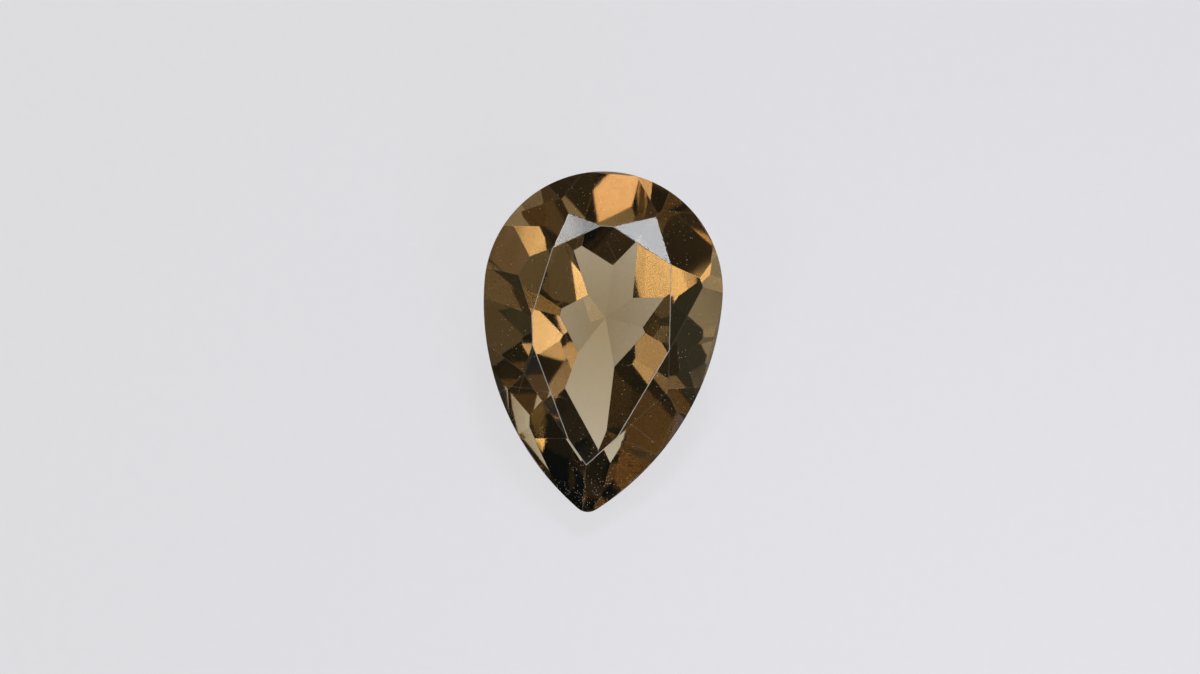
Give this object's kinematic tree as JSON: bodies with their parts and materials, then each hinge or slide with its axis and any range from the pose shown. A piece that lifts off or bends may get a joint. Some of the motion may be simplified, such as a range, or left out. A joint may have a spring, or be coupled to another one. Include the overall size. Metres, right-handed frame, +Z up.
{
  "type": "faceted smoky quartz gemstone",
  "caption": "Loose pear-shaped faceted gemstone of clear brown quartz, lying crown up on a pavilion facet.",
  "frame": {"origin": "middle of the footprint box of the stone, on the surface that it lies on", "axes": "+Z up, -Y towards the pointed tip, +Y towards the round head, +X to the right seen from the tip; the table faces up and towards -Y, 25.25 degrees from +Z"},
  "size_m": [0.007, 0.0092, 0.0051],
  "materials": {
    "smoky_quartz": "polished flat facets, clear brown"
  },
  "bodies": {
    "root": {"gemstone": "smoky_quartz"}
  },
  "joints": []
}
